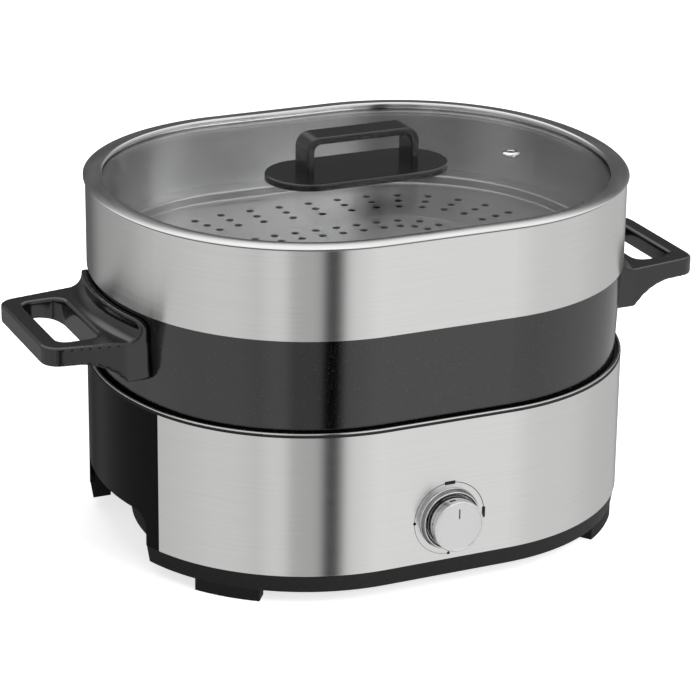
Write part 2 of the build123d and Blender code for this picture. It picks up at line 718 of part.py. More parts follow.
for x in (-leg_x, leg_x):
    handle_plate -= post(x, 0, 0, handle_plate_top, lid_screw_radius + thread_gap)
    bow -= post(x, 0, 0, screw_end + seat_gap, lid_screw_radius + thread_gap)
    ring_washer = post(x, 0, washer_bottom, glass_bottom, washer_radius)
    washers.append(ring_washer - post(x, 0, 0, glass_bottom, lid_screw_radius + thread_gap))
    lid_head = post(x, 0, washer_bottom - 2 * screw_head_height, washer_bottom, lid_screw_head_radius)
    lid_screws.append(lid_head + post(x, 0, washer_bottom, screw_end, lid_screw_radius))
parts["lid_handle_plate"] = handle_plate
parts["lid_handle_bow"] = bow
parts["lid_handle_screws"] = group(lid_screws)
parts["lid_handle_washers"] = group(washers)

# Steam vent eyelet through the glass
vent_seat = glass_top - glue_gap
vent = post(vent_x, 0, glass_bottom - vent_flange, vent_seat, vent_radius)
vent += post(vent_x, 0, vent_seat, vent_seat + vent_flange, vent_flange_radius)
vent += post(vent_x, 0, glass_bottom - vent_flange, glass_bottom, vent_flange_radius - vent_flange)
vent = fillet(level_edges(vent, vent_seat + vent_flange), vent_flange / 2)
parts["steam_vent"] = vent - post(vent_x, 0, 0, 2 * glass_top, vent_bore)

# The origin stands under the middle of the whole footprint, knob included
centre = Pos(0, (knob_projection - lid_overhang) / 2, 0)
os.makedirs("parts", exist_ok=True)
for name, shape in parts.items():
    export_step(centre * shape, f"parts/{name}.step")
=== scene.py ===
import bpy
import json
from math import asin, atan2, cos, pi, radians, sin
from mathutils import Matrix, Vector


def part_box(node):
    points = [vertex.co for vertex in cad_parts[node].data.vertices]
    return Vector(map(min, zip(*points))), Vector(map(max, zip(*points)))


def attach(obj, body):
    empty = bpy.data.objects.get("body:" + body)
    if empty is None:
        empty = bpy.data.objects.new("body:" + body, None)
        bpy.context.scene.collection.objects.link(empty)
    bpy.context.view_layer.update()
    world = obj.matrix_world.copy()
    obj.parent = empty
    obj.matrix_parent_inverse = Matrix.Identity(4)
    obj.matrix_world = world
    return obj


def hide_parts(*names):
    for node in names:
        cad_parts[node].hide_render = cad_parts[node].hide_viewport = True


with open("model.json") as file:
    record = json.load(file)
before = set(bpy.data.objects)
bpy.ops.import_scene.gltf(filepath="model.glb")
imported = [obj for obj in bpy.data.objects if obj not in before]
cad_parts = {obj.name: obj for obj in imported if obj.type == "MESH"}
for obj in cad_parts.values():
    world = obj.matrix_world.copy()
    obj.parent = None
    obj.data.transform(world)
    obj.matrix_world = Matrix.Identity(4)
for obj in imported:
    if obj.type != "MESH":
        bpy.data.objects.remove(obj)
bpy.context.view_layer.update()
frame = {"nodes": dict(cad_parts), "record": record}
nodes = frame["nodes"]
mm = 0.001
mergeGap = 0.002 * mm   # points closer than this are one point
print("frame loaded,", len(nodes), "nodes")


def hexLinear(code):
    # sRGB hex, as a colour picker shows it, to the linear values that sockets hold
    parts = [int(code[i:i + 2], 16) / 255 for i in (1, 3, 5)]
    return [p / 12.92 if p <= 0.04045 else ((p + 0.055) / 1.055) ** 2.4 for p in parts] + [1.0]


def addNode(tree, kind, settings=None, links=None, **sockets):
    # settings are the node's own options, links go from (node, output) into named inputs
    node = tree.nodes.new(kind)
    for name, value in (settings or {}).items():
        setattr(node, name, value)
    for name, value in sockets.items():
        node.inputs[name.replace("_", " ")].default_value = value
    for name, (source, output) in (links or {}).items():
        tree.links.new(source.outputs[output], node.inputs[name])
    return node


def newMaterial(name):
    material = bpy.data.materials.new(name)
    material.use_nodes = True
    tree = material.node_tree
    return material, tree, tree.nodes["Principled BSDF"]


# Octaves of a finish's noise, the span of values it mostly has, and a range's four limits
grainDetail = 3.0
grainSpan = (0.3, 0.7)
rangeSockets = ("From_Min", "From_Max", "To_Min", "To_Max")


def grain(tree, sizes, detail):
    # soft noise on object coordinates, one grain size in millimetres for each axis
    coords = addNode(tree, "ShaderNodeTexCoord")
    placed = addNode(tree, "ShaderNodeMapping", links={"Vector": (coords, "Object")},
                     Scale=[1 / (size * mm) for size in sizes])
    return addNode(tree, "ShaderNodeTexNoise", links={"Vector": (placed, 0)}, Scale=1.0, Detail=detail)


def finish(name, look):
    # colours and roughness run from the grain's low places to its high ones, bumpMm is its relief
    material, tree, shader = newMaterial(name)
    noise = grain(tree, look["grainMm"], grainDetail)
    ramp = addNode(tree, "ShaderNodeValToRGB", links={"Fac": (noise, 0)})
    for stop, place, colour in zip(ramp.color_ramp.elements, grainSpan, look["colours"]):
        stop.position = place
        stop.color = hexLinear(colour)
    rough = addNode(tree, "ShaderNodeMapRange", links={"Value": (noise, 0)},
                    **dict(zip(rangeSockets, (*grainSpan, *look["roughness"]))))
    bump = addNode(tree, "ShaderNodeBump", links={"Height": (noise, 0)}, Distance=look["bumpMm"] * mm)
    for socket, source in (("Base Color", ramp), ("Roughness", rough), ("Normal", bump)):
        tree.links.new(source.outputs[0], shader.inputs[socket])
    shader.inputs["Metallic"].default_value = look.get("metallic", 0.0)
    for key, socket in (("ior", "IOR"), ("specular", "Specular IOR Level")):
        if key in look:
            shader.inputs[socket].default_value = look[key]
    if "anisotropy" in look:
        # brush lines run level round the wall, so a quarter turn pulls reflections upright
        shader.inputs["Anisotropic"].default_value = look["anisotropy"]
        shader.inputs["Anisotropic Rotation"].default_value = 0.25
        tangent = addNode(tree, "ShaderNodeTangent", {"direction_type": "RADIAL", "axis": "Z"})
        tree.links.new(tangent.outputs[0], shader.inputs["Tangent"])
    return material, tree, shader


looks = {
    # belt-ground stainless sheet: level hair lines, drawn coarser than the real 0.1 mm so that they show
    "brushedStainlessSteel": {"colours": ("#D6D6D5", "#DADAD9"), "roughness": (0.23, 0.26), "metallic": 1.0,
                              "grainMm": (60, 60, 0.9), "bumpMm": 0.0003, "anisotropy": 0.85},
    # rolled rim, polished after forming: sharper reflections and faint rolling lines
    "polishedRimSteel": {"colours": ("#C6C6C6", "#D2D2D2"), "roughness": (0.14, 0.20), "metallic": 1.0,
                         "grainMm": (40, 40, 0.6), "bumpMm": 0.0006},
    # pressed tray sheet: mill grain along the length
    "pressedTraySteel": {"colours": ("#CCCCCB", "#D0D0CF"), "roughness": (0.30, 0.35), "metallic": 1.0,
                         "grainMm": (60, 4, 4), "bumpMm": 0.0004},
    # bright chrome plate: a mirror with a faint ripple
    "brightChromePlate": {"colours": ("#D6D6D7", "#E2E2E3"), "roughness": (0.05, 0.09), "metallic": 1.0,
                          "grainMm": (3, 3, 3), "bumpMm": 0.003},
    # shaded chrome plate: the same mirror finish, darker; a shaded copy of the bright chrome that paints the
    # shade and dark reflection in the knob ring's gap and on its cone
    "shadedChromePlate": {"colours": ("#8A8A8C", "#949496"), "roughness": (0.06, 0.10), "metallic": 1.0,
                          "grainMm": (3, 3, 3), "bumpMm": 0.002},
    # satin plate on the knob's face: soft reflections and a fine even grain
    "satinKnobPlate": {"colours": ("#DADADA", "#E6E6E6"), "roughness": (0.34, 0.42), "metallic": 1.0,
                       "grainMm": (0.7, 0.7, 0.7), "bumpMm": 0.004},
    # polished black ABS: slight flow ripple under the gloss
    "glossBlackAbs": {"colours": ("#060606", "#090909"), "roughness": (0.10, 0.15), "ior": 1.53,
                      "specular": 0.05, "grainMm": (12, 12, 12), "bumpMm": 0.004},
    # dark grey polypropylene from a spark-eroded mould: dull, finely pebbled
    "texturedGreyPolypropylene": {"colours": ("#2C2C2C", "#353535"), "roughness": (0.42, 0.52), "ior": 1.49,
                                  "specular": 0.04, "grainMm": (0.8, 0.8, 0.8), "bumpMm": 0.012},
    # compression-moulded phenolic: half gloss, with a fine even skin
    "mouldedBlackPhenolic": {"colours": ("#101010", "#151515"), "roughness": (0.14, 0.18), "ior": 1.6,
                             "grainMm": (0.8, 0.8, 0.8), "bumpMm": 0.001},
    # black rubber feet: dull, slightly grained
    "footRubber": {"colours": ("#161616", "#1E1E1E"), "roughness": (0.65, 0.8), "ior": 1.52, "specular": 0.2,
                   "grainMm": (1.5, 1.5, 1.5), "bumpMm": 0.03},
    # cast heating plate, bead blasted: dull, evenly pitted
    "blastedCastAluminium": {"colours": ("#9C9C9C", "#B4B4B3"), "roughness": (0.4, 0.5), "metallic": 1.0,
                             "grainMm": (0.9, 0.9, 0.9), "bumpMm": 0.03},
    # galvanised sheet of the well: soft spangle
    "galvanisedSheet": {"colours": ("#9A9C9D", "#B2B4B5"), "roughness": (0.3, 0.42), "metallic": 1.0,
                        "grainMm": (9, 9, 9), "bumpMm": 0.006},
    # zinc-plated screws, shafts and springs: cool, half dull
    "zincPlatedSteel": {"colours": ("#949698", "#A8AAAC"), "roughness": (0.26, 0.36), "metallic": 1.0,
                        "grainMm": (1.2, 1.2, 1.2), "bumpMm": 0.006},
    # brown phenolic thermostat body, mottled
    "brownPhenolic": {"colours": ("#33241B", "#45332A"), "roughness": (0.42, 0.55), "ior": 1.6,
                      "grainMm": (1.4, 1.4, 1.4), "bumpMm": 0.02},
    # moulded natural nylon terminal block: creamy, half dull
    "naturalNylon": {"colours": ("#D6D3C8", "#E2E0D6"), "roughness": (0.42, 0.52), "ior": 1.53,
                     "grainMm": (2, 2, 2), "bumpMm": 0.01},
    # drawn aluminium can of the fuse, draw lines along it
    "drawnAluminium": {"colours": ("#AEAEAF", "#C2C2C3"), "roughness": (0.24, 0.34), "metallic": 1.0,
                       "grainMm": (12, 0.6, 0.6), "bumpMm": 0.004},
    # silicone-covered lead: dull, faintly rough skin
    "siliconeLead": {"colours": ("#5E5E62", "#77777B"), "roughness": (0.55, 0.7), "ior": 1.43,
                     "grainMm": (0.8, 0.8, 0.8), "bumpMm": 0.04},
    # moulded grey silicone washer: dull and smooth
    "siliconeWasher": {"colours": ("#959595", "#A8A8A8"), "roughness": (0.5, 0.62), "ior": 1.43,
                       "grainMm": (1.5, 1.5, 1.5), "bumpMm": 0.01},
    # screen-printed ink of the dial marks: flat black, slightly mottled
    "blackDialInk": {"colours": ("#141414", "#1E1E1E"), "roughness": (0.45, 0.6), "ior": 1.5,
                     "grainMm": (0.4, 0.4, 0.4), "bumpMm": 0.004},
}
made = {name: finish(name, look)[0] for name, look in looks.items()}


# Sprayed non-stick coating: near black with orange-peel relief and mica flakes, drawn coarser than
# real ones so that they show
potLook = {"colours": ("#020202", "#040404"), "roughness": (0.10, 0.16), "ior": 1.72,
           "grainMm": (1.2, 1.2, 1.2), "bumpMm": 0.004, "flakeColour": "#454544",
           "flakeMm": 1.0, "flakeShare": 0.18, "flakeEdge": (0.16, 0.3)}


def potCoating(name, look):
    material, tree, shader = finish(name, look)
    ramp = shader.inputs["Base Color"].links[0].from_node
    coords = addNode(tree, "ShaderNodeTexCoord")
    flakes = addNode(tree, "ShaderNodeTexVoronoi", links={"Vector": (coords, "Object")},
                     Scale=1 / (look["flakeMm"] * mm))
    spot = addNode(tree, "ShaderNodeMapRange", links={"Value": (flakes, "Distance")},
                   **dict(zip(rangeSockets, (*look["flakeEdge"], 1.0, 0.0))))
    pick = addNode(tree, "ShaderNodeSeparateColor", links={"Color": (flakes, "Color")})
    few = addNode(tree, "ShaderNodeMath", {"operation": "LESS_THAN"}, {0: (pick, 0)})
    few.inputs[1].default_value = look["flakeShare"]
    shown = addNode(tree, "ShaderNodeMath", {"operation": "MULTIPLY"}, {0: (spot, 0), 1: (few, 0)})
    mixed = addNode(tree, "ShaderNodeMixRGB", links={"Fac": (shown, 0), "Color1": (ramp, 0)},
                    Color2=hexLinear(look["flakeColour"]))
    tree.links.new(mixed.outputs[0], shader.inputs["Base Color"])
    return material


made["nonStickCoating"] = potCoating("nonStickCoating", potLook)


# Tempered float glass: clear, with the slight haze that handling leaves
glassLook = {"colour": "#FBFCFC", "ior": 1.5, "hazeMm": 30, "hazeDetail": 2.0, "hazeSpan": (0.4, 0.8),
             "haze": (0.0, 0.006)}


def clearGlass(name, look):
    material, tree, shader = newMaterial(name)
    noise = grain(tree, [look["hazeMm"]] * 3, look["hazeDetail"])
    haze = addNode(tree, "ShaderNodeMapRange", links={"Value": (noise, 0)},
                   **dict(zip(rangeSockets, (*look["hazeSpan"], *look["haze"]))))
    tree.links.new(haze.outputs[0], shader.inputs["Roughness"])
    shader.inputs["Base Color"].default_value = hexLinear(look["colour"])
    shader.inputs["Transmission Weight"].default_value = 1.0
    shader.inputs["IOR"].default_value = look["ior"]
    return material


made["temperedGlass"] = clearGlass("temperedGlass", glassLook)

# Finish of each record slot, and of the few nodes whose finish differs from their slot's
slotFinish = {
    "brushed_steel": "brushedStainlessSteel", "chrome": "brightChromePlate", "gloss_black": "glossBlackAbs",
    "plinth_grey": "texturedGreyPolypropylene", "handle_black": "mouldedBlackPhenolic",
    "foot_rubber": "footRubber", "lid_glass": "temperedGlass", "nonstick_grey": "nonStickCoating",
    "cast_aluminium": "blastedCastAluminium", "steel_sheet": "galvanisedSheet",
    "plain_steel": "zincPlatedSteel", "phenolic": "brownPhenolic", "terminal_nylon": "naturalNylon",
    "fuse_can": "drawnAluminium", "wire_silicone": "siliconeLead", "washer_silicone": "siliconeWasher",
}
nodeFinish = {"lid_rim": "polishedRimSteel", "steamer_tray": "pressedTraySteel",
              "base_bezel": "texturedGreyPolypropylene"}
for part in frame["record"]["subparts"]:
    item = nodes[part["node"]]
    name = nodeFinish.get(part["node"], slotFinish[part["material_slot"]])
    item.data.materials.clear()
    item.data.materials.append(made[name])
print("finishes set,", len(made), "materials")


def deselect():
    bpy.ops.object.select_all(action="DESELECT")


def firstPoint(name, place):
    # a plane primitive drawn together to the profile's first point, left in edit mode
    deselect()
    bpy.ops.mesh.primitive_plane_add(size=mm)
    item = bpy.context.object
    item.name = name
    bpy.ops.object.mode_set(mode="EDIT")
    bpy.ops.mesh.select_mode(type="VERT")
    bpy.ops.mesh.merge(type="CENTER")
    bpy.ops.transform.translate(value=place)
    return item


def drawProfile(points):
    # extrudes the selected vertex through the other points and back to the first
    for here, there in zip(points, points[1:] + points[:1]):
        bpy.ops.mesh.extrude_vertices_move(TRANSFORM_OT_translate={"value": there - here})
    bpy.ops.mesh.select_all(action="SELECT")
    bpy.ops.mesh.remove_doubles(threshold=mergeGap)
    bpy.ops.mesh.select_all(action="SELECT")


def closeMesh():
    # merges seams and poles, turns the faces outwards and leaves edit mode
    bpy.ops.mesh.select_all(action="SELECT")
    bpy.ops.mesh.remove_doubles(threshold=mergeGap)
    bpy.ops.mesh.normals_make_consistent(inside=False)
    bpy.ops.object.mode_set(mode="OBJECT")


edgeLook = {"bevelSteps": 3, "smoothDegrees": 35}


def finishPiece(item, body, materials, bevelMm=0.0, node=None):
    # soft edges, smooth shading, finish, and the body that carries the piece
    deselect()
    item.select_set(True)
    bpy.context.view_layer.objects.active = item
    if bevelMm:
        bevel = item.modifiers.new("softEdges", "BEVEL")
        bevel.width = bevelMm * mm
        bevel.segments = edgeLook["bevelSteps"]
        bevel.limit_method = "ANGLE"
        bpy.ops.object.modifier_apply(modifier=bevel.name)
    bpy.ops.object.shade_smooth_by_angle(angle=radians(edgeLook["smoothDegrees"]))
    item.data.materials.clear()
    for name in materials:
        item.data.materials.append(made[name])
    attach(item, body)
    if node:
        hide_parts(node)


def spunPiece(name, profile, centre, axis, steps):
    # a closed profile of (radius, distance along the axis) in millimetres, turned about the axis
    across = Vector((1, 0, 0))
    points = [centre + (across * r + axis * d) * mm for r, d in profile]
    item = firstPoint(name, points[0])
    drawProfile(points)
    bpy.ops.mesh.spin(steps=steps, angle=2 * pi, center=centre, axis=axis)
    closeMesh()
    return item


# Outline of the whole body: straight sides, corner arcs and flatter ends, as the bezel's box gives it
outline = {"cornerY": 13.5, "endFlattening": 37.0, "cornerSteps": 28, "endSteps": 20}
bezelLow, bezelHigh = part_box("base_bezel")
centreY = (bezelLow[1] + bezelHigh[1]) / 2
halfLength = (bezelHigh[0] - bezelLow[0]) / 2
halfWidth = (bezelHigh[1] - bezelLow[1]) / 2
cornerY = outline["cornerY"] * mm
cornerRadius = halfWidth - cornerY
endRadius = cornerRadius + outline["endFlattening"] * mm
endTurn = asin(outline["cornerY"] / outline["endFlattening"])
flatHalf = halfLength - endRadius * (1 - cos(endTurn)) - cornerRadius * cos(endTurn)


def ovalPiece(name, profile, base):
    # a closed profile of (inset, height) in millimetres, led once round the outline above the base height
    points = [Vector((-flatHalf, centreY - halfWidth + i * mm, base + h * mm)) for i, h in profile]
    item = firstPoint(name, points[0])
    drawProfile(points)
    arcs = [
        (flatHalf, -cornerY, pi / 2 - endTurn, outline["cornerSteps"]),
        (halfLength - endRadius, 0, 2 * endTurn, outline["endSteps"]),
        (flatHalf, cornerY, pi / 2 - endTurn, outline["cornerSteps"]),
    ]
    for side in (1, -1):
        bpy.ops.mesh.extrude_region_move(TRANSFORM_OT_translate={"value": (2 * side * flatHalf, 0, 0)})
        for centreX, offY, turn, steps in arcs:
            # without a window spin turns clockwise about its axis, so the axis points down
            centre = (side * centreX, centreY + side * offY, 0)
            bpy.ops.mesh.spin(steps=steps, angle=turn, center=centre, axis=(0, 0, -1))
    closeMesh()
    return item


# Knob: polished sleeve, satin face set in a thin bright edge, and its pointer line
knobLook = {
    "edge": 0.5, "rim": 1.2, "dish": 0.25, "dishSlack": 0.05, "wall": 1.4, "faceWall": 2.0, "bevel": 0.12,
    "pointerFrom": 5.0, "pointerTo": 11.2, "pointerWidth": 0.8, "pointerHeight": 0.12, "pointerBevel": 0.04,
    "steps": 128,
}
knobLow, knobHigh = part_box("knob_cap")
knobAxis = Vector(((knobLow[0] + knobHigh[0]) / 2, knobHigh[1], (knobLow[2] + knobHigh[2]) / 2))
forward = Vector((0, -1, 0))


def makeKnob():
    radius, depth = (knobHigh[0] - knobLow[0]) / 2 / mm, (knobHigh[1] - knobLow[1]) / mm
    edge, rim, dish, wall, faceWall = (knobLook[key] for key in ("edge", "rim", "dish", "wall", "faceWall"))
    profile = [
        (0, depth - dish), (radius - rim - dish, depth - dish), (radius - rim, depth), (radius - edge, depth),
        (radius, depth - edge), (radius, 0), (radius - wall, 0), (radius - wall, depth - faceWall),
        (0, depth - faceWall),
    ]
    cap = spunPiece("knobCap", profile, knobAxis, forward, knobLook["steps"])
    finishPiece(cap, "knob", ("brightChromePlate", "satinKnobPlate"), knobLook["bevel"], "knob_cap")
    faceY = knobLow[1] + (dish + knobLook["dishSlack"]) * mm
    faceRadius = (radius - rim - dish / 2) * mm
    for face in cap.data.polygons:
        # faces that look forward inside the bright edge are satin
        inFront = face.center.y < faceY and face.normal.y < -0.9
        face.material_index = int(inFront and (face.center - knobAxis).xz.length < faceRadius)
    length = knobLook["pointerTo"] - knobLook["pointerFrom"]
    size = (knobLook["pointerWidth"], knobLook["pointerHeight"], length)
    deselect()
    bpy.ops.mesh.primitive_cube_add(size=1)
    pointer = bpy.context.object
    pointer.name = "knobPointer"
    bpy.ops.object.mode_set(mode="EDIT")
    bpy.ops.transform.resize(value=[side * mm for side in size])
    bpy.ops.transform.translate(value=(
        knobAxis.x, knobLow[1] + dish * mm, knobAxis.z + (knobLook["pointerFrom"] + length / 2) * mm))
    bpy.ops.mesh.select_all(action="SELECT")
    bpy.ops.object.mode_set(mode="OBJECT")
    finishPiece(pointer, "knob", ("blackDialInk",), knobLook["pointerBevel"])


# Ring round the knob: bright foot and crest; the cone and the gap beside the sleeve take a darker copy of the
# chrome, painted shade and dark reflection
ringLook = {
    "profile": [
        (16.35, 0.1), (16.35, 2.6), (17.0, 2.8), (17.35, 3.9), (17.6, 4.4), (17.95, 4.4), (18.2, 4.1),
        (18.9, 2.2), (19.2, 1.3), (19.5, 0.9), (19.5, 0.1),
    ],
    "shadedGapTo": 17.45, "shadedCone": (18.12, 19.1), "bevel": 0.1, "steps": 128,
}


def makeRing():
    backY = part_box("knob_ring")[1][1]
    centre = Vector((knobAxis.x, backY, knobAxis.z))
    ring = spunPiece("knobRing", ringLook["profile"], centre, forward, ringLook["steps"])
    finishes = ("brightChromePlate", "shadedChromePlate")
    finishPiece(ring, "base", finishes, ringLook["bevel"], "knob_ring")
    shadedConeFrom, shadedConeTo = ringLook["shadedCone"]
    # faces in the gap beside the sleeve and on the cone take the darker chrome copy: painted shade and dark
    # reflection
    for face in ring.data.polygons:
        radius = (face.center - centre).xz.length / mm
        face.material_index = int(radius < ringLook["shadedGapTo"] or shadedConeFrom < radius < shadedConeTo)


# Dial marks printed on the panel: a line that grows from 6 o'clock to 3, bars at 12 and 3, dots at 6 and 9
dialLook = {
    "radius": 22.8, "lineFrom": 0.18, "lineTo": 0.45, "sweep": 1.5 * pi, "steps": 108, "ink": 0.06,
    "barLength": 7.0, "barWidth": 2.2, "barCorner": 0.5, "dotRadius": 1.0, "dotSides": 32,
}


def makeDial():
    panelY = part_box("front_panel")[0][1]
    radius, ink, thin = (dialLook[key] * mm for key in ("radius", "ink", "lineFrom"))
    length, width, corner, dotRadius = (
        dialLook[key] * mm for key in ("barLength", "barWidth", "barCorner", "dotRadius"))
    grow = dialLook["lineTo"] - dialLook["lineFrom"]
    centre = Vector((knobAxis.x, panelY - ink / 2, knobAxis.z))
    upright = Matrix.Rotation(pi / 2, 4, "X")   # flat marks stand up against the panel
    line = firstPoint("dialMarks", centre + Vector((0, 0, -radius)))
    bpy.ops.mesh.extrude_vertices_move(TRANSFORM_OT_translate={"value": (0, 0, -thin)})
    bpy.ops.mesh.select_all(action="SELECT")
    bpy.ops.mesh.spin(steps=dialLook["steps"], angle=dialLook["sweep"], center=centre, axis=(0, -1, 0))
    bpy.ops.object.mode_set(mode="OBJECT")
    for vert in line.data.vertices:
        arm = vert.co - centre
        if arm.length > radius + thin / 2:
            # the outer edge moves out by its share of the way round from 6 o'clock
            turned = atan2(-arm.x, -arm.z) % (2 * pi) / dialLook["sweep"]
            vert.co += arm.normalized() * grow * turned * mm
    marks = [line]
    for size, place in (((length, width, 1), (0, 0, radius)), ((width, length, 1), (radius, 0, 0))):
        deselect()
        bpy.ops.mesh.primitive_plane_add(size=1)
        bar = bpy.context.object
        bpy.ops.object.mode_set(mode="EDIT")
        bpy.ops.transform.resize(value=size)
        bpy.ops.mesh.bevel(offset=corner, segments=edgeLook["bevelSteps"], affect="VERTICES")
        bpy.ops.object.mode_set(mode="OBJECT")
        bar.data.transform(Matrix.Translation(centre + Vector(place)) @ upright)
        marks.append(bar)
    for place in ((0, 0, -radius), (-radius, 0, 0)):
        deselect()
        bpy.ops.mesh.primitive_circle_add(vertices=dialLook["dotSides"], radius=dotRadius, fill_type="NGON")
        dot = bpy.context.object
        dot.data.transform(Matrix.Translation(centre + Vector(place)) @ upright)
        marks.append(dot)
    deselect()
    for mark in marks:
        mark.select_set(True)
    bpy.context.view_layer.objects.active = line
    bpy.ops.object.join()
    solid = line.modifiers.new("ink", "SOLIDIFY")
    solid.thickness = ink
    solid.offset = 0
    bpy.ops.object.modifier_apply(modifier=solid.name)
    bpy.ops.object.mode_set(mode="EDIT")
    closeMesh()
    finishPiece(line, "base", ("blackDialInk",))


# Lid rim: low crown that falls outwards, tight inner edge with a reveal above the glass, and the skirt
# that grips the glass; a shallow groove under its outer edge draws the dark line above the steamer
rimLook = {
    "crown": [
        (-0.6, 0.9), (-0.45, 1.02), (0.1, 1.15), (1.5, 1.42), (3.5, 1.7), (5.5, 1.92), (7.5, 2.06),
        (9.0, 2.08), (9.9, 2.0), (10.5, 1.7), (10.85, 1.25), (11.0, 0.8), (11.0, 0.4), (9.6, 0.3),
    ],
    "outer": -0.6, "revealInner": 9.6, "skirtOuter": 3.0, "skirtInner": 7.0, "lipInner": 10.0,
    "grooveInner": 1.9, "grooveHeight": 0.75, "seat": 6.5, "lip": 1.2,
}


def makeRim():
    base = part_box("lid_rim")[0][2]
    glassTop = (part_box("lid_glass")[1][2] - base) / mm
    seat, lip, groove = (rimLook[key] for key in ("seat", "lip", "grooveHeight"))
    outer, reveal, grooveInner = (rimLook[key] for key in ("outer", "revealInner", "grooveInner"))
    skirtOuter, skirtInner, lipInner = (rimLook[key] for key in ("skirtOuter", "skirtInner", "lipInner"))
    profile = [(outer, seat + groove)] + [(inset, seat + rise) for inset, rise in rimLook["crown"]]
    profile += [
        (reveal, glassTop), (skirtInner, glassTop), (skirtInner, lip), (lipInner, lip), (lipInner, 0),
        (skirtOuter, 0), (skirtOuter, seat), (grooveInner, seat), (grooveInner, seat + groove),
    ]
    rim = ovalPiece("lidRim", profile, base)
    finishPiece(rim, "lid", ("polishedRimSteel",), 0.0, "lid_rim")


# Steam vent: polished eyelet with a domed flange on the glass and a rolled edge below it
ventLook = {"bore": 2.2, "lip": 0.45, "shank": 3.9, "flange": 5.75, "rolled": 4.55, "crownFall": 0.05,
            "shoulder": (0.6, 0.4), "flangeEdge": 0.25, "rolledEdge": 0.3, "foot": (0.5, 0.2), "bevel": 0.1,
            "steps": 64}


def makeVent():
    low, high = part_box("steam_vent")
    glassLow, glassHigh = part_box("lid_glass")
    centre = Vector(((low[0] + high[0]) / 2, (low[1] + high[1]) / 2, low[2]))
    top, upper, lower = (high[2] - low[2]) / mm, (glassHigh[2] - low[2]) / mm, (glassLow[2] - low[2]) / mm
    bore, lip, shank, flange, rolled = (ventLook[key] for key in ("bore", "lip", "shank", "flange", "rolled"))
    shoulderIn, shoulderFall = ventLook["shoulder"]
    footIn, footRise = ventLook["foot"]
    profile = [
        (bore, footRise), (bore, top - lip), (bore + lip, top), (shank, top - ventLook["crownFall"]),
        (flange - shoulderIn, top - shoulderFall), (flange, upper + ventLook["flangeEdge"]), (flange, upper),
        (shank, upper), (shank, lower), (rolled, lower), (rolled, ventLook["rolledEdge"]), (bore + footIn, 0),
    ]
    vent = spunPiece("steamVent", profile, centre, Vector((0, 0, 1)), ventLook["steps"])
    finishPiece(vent, "lid", ("brightChromePlate",), ventLook["bevel"], "steam_vent")


# Pot handles: the moulding's edges rounded off all over
handleLook = {"voxel": 0.8, "smoothing": 10, "strength": 0.5}


def makeHandle(node, name):
    mesh = nodes[node].data.copy()
    handle = bpy.data.objects.new(name, mesh)
    bpy.context.collection.objects.link(handle)
    deselect()
    handle.select_set(True)
    bpy.context.view_layer.objects.active = handle
    bpy.ops.object.mode_set(mode="EDIT")
    bpy.ops.mesh.select_all(action="SELECT")
    bpy.ops.mesh.remove_doubles(threshold=mergeGap)
    bpy.ops.object.mode_set(mode="OBJECT")
    remesh = handle.modifiers.new("skin", "REMESH")
    remesh.mode = "VOXEL"
    remesh.voxel_size = handleLook["voxel"] * mm
    bpy.ops.object.modifier_apply(modifier=remesh.name)
    smooth = handle.modifiers.new("roundedEdges", "SMOOTH")
    smooth.factor = handleLook["strength"]
    smooth.iterations = handleLook["smoothing"]
    bpy.ops.object.modifier_apply(modifier=smooth.name)
    finishPiece(handle, "pot", ("mouldedBlackPhenolic",), 0.0, node)
    bpy.ops.object.shade_smooth()


# Stiffening bead pressed round the steamer floor, between the two groups of holes
beadLook = {"inset": 82.0, "half": 2.6, "height": 0.14, "shoulder": 0.75, "sunk": 0.1, "sheet": 0.8}


def makeBead():
    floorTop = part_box("steamer_tray")[0][2] + beadLook["sheet"] * mm
    inset, half, height, sunk = (beadLook[key] for key in ("inset", "half", "height", "sunk"))
    shoulder = height * beadLook["shoulder"]
    profile = [
        (inset - half, -sunk), (inset - half / 2, shoulder), (inset, height), (inset + half / 2, shoulder),
        (inset + half, -sunk),
    ]
    bead = ovalPiece("floorBead", profile, floorTop)
    finishPiece(bead, "steamer", ("pressedTraySteel",))


makeKnob()
makeRing()
makeDial()
makeVent()
makeRim()
makeHandle("pot_handle_left", "potHandleLeft")
makeHandle("pot_handle_right", "potHandleRight")
makeBead()
print("pieces made")


# Camera at the photograph's angle: a long lens, slightly above, from the front left; radians and millimetres
view = {
    "azimuth": -0.429, "elevation": 0.348, "roll": 0.013, "distance": 1789.7, "target": (0, 6.7, 139.7),
    "focalPixels": 2861.3, "imagePixels": 700, "centre": (355.326, 295.015), "sensor": 36.0, "nearest": 50.0,
}


def setCamera():
    az, el = view["azimuth"], view["elevation"]
    back = Vector((sin(az) * cos(el), -cos(az) * cos(el), sin(el)))
    right = Vector((cos(az), sin(az), 0))
    up = back.cross(right)
    turned = Matrix.Rotation(view["roll"], 4, back) @ Matrix((right, up, back)).transposed().to_4x4()
    place = (Vector(view["target"]) + back * view["distance"]) * mm
    camera = bpy.data.cameras.new("camera")
    camera.sensor_width = view["sensor"]
    camera.lens = view["focalPixels"] / view["imagePixels"] * view["sensor"]
    camera.shift_x = (view["imagePixels"] / 2 - view["centre"][0]) / view["imagePixels"]
    camera.shift_y = (view["centre"][1] - view["imagePixels"] / 2) / view["imagePixels"]
    camera.clip_start = view["nearest"] * mm
    item = bpy.data.objects.new("camera", camera)
    item.matrix_world = Matrix.Translation(place) @ turned
    bpy.context.collection.objects.link(item)
    bpy.context.scene.camera = item


